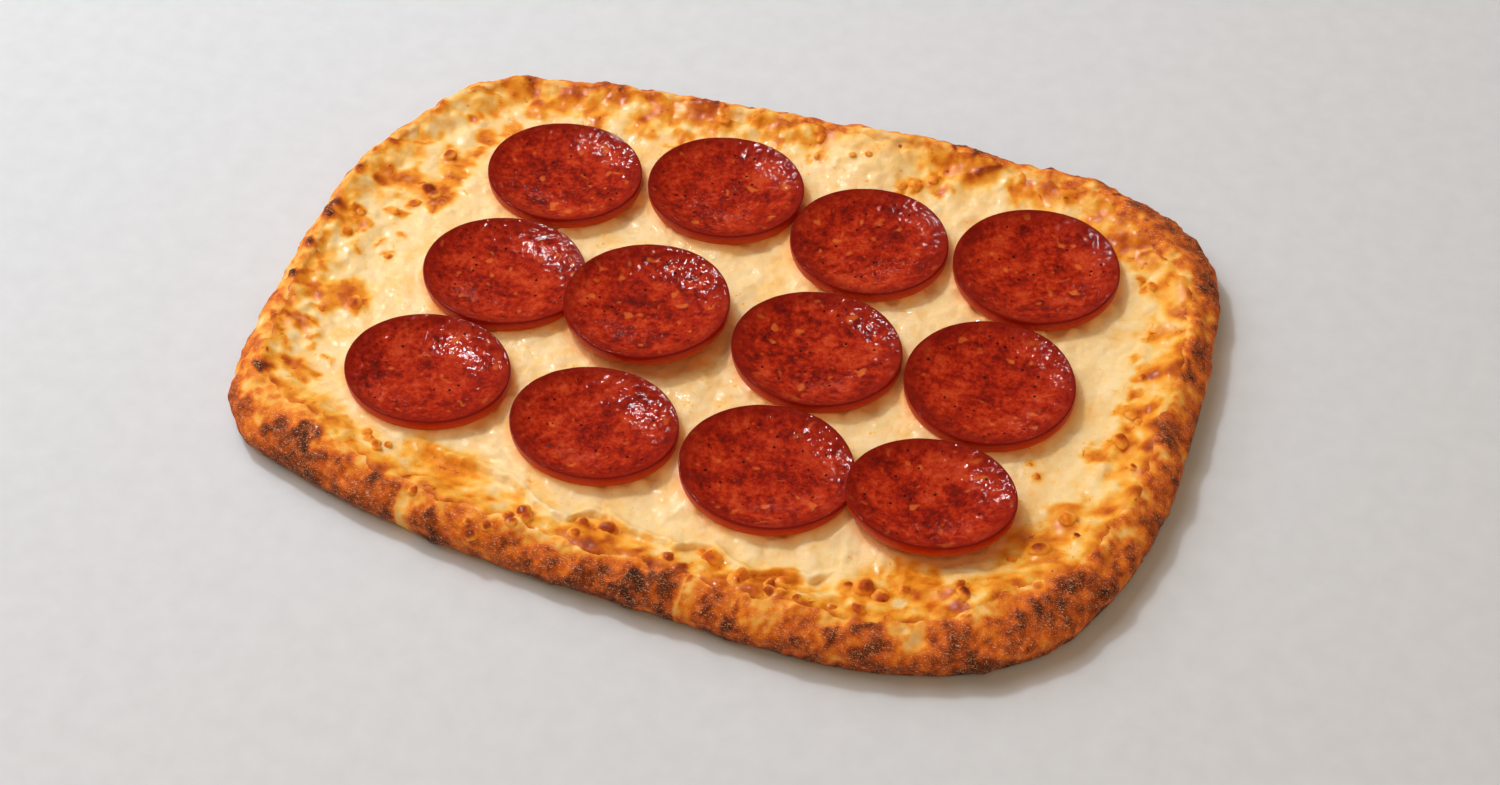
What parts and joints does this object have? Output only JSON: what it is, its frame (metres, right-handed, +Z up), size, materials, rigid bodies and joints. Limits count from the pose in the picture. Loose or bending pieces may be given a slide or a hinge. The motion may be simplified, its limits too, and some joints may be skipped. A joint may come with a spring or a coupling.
{
  "type": "rounded-rectangle flatbread pepperoni pizza",
  "caption": "Whole flatbread pizza: a thin rounded-rectangle bread with a raised browned rim, toasted melted cheese and dished pepperoni slices laid in rows.",
  "frame": {"origin": "on the surface the pizza lies on, below the middle of its bounding box", "axes": "+X along the long side, +Y towards the narrow-rimmed far side, +Z up"},
  "size_m": [0.2356, 0.1712, 0.0149],
  "materials": {
    "crust": "baked bread crust, matt, golden to dark brown with charred patches",
    "cheese": "melted cheese, oily gloss, cream with toasted brown patches",
    "pepperoni": "cured sausage slice, oily, mottled red with fat and pepper flecks"
  },
  "bodies": {
    "root": {"flatbread": "crust", "cheese": "cheese", "pepperoni_a1": "pepperoni", "pepperoni_a2": "pepperoni", "pepperoni_a3": "pepperoni", "pepperoni_a4": "pepperoni", "pepperoni_b1": "pepperoni", "pepperoni_b2": "pepperoni", "pepperoni_b3": "pepperoni", "pepperoni_b4": "pepperoni", "pepperoni_c1": "pepperoni", "pepperoni_c2": "pepperoni", "pepperoni_c3": "pepperoni", "pepperoni_c4": "pepperoni"}
  },
  "joints": []
}
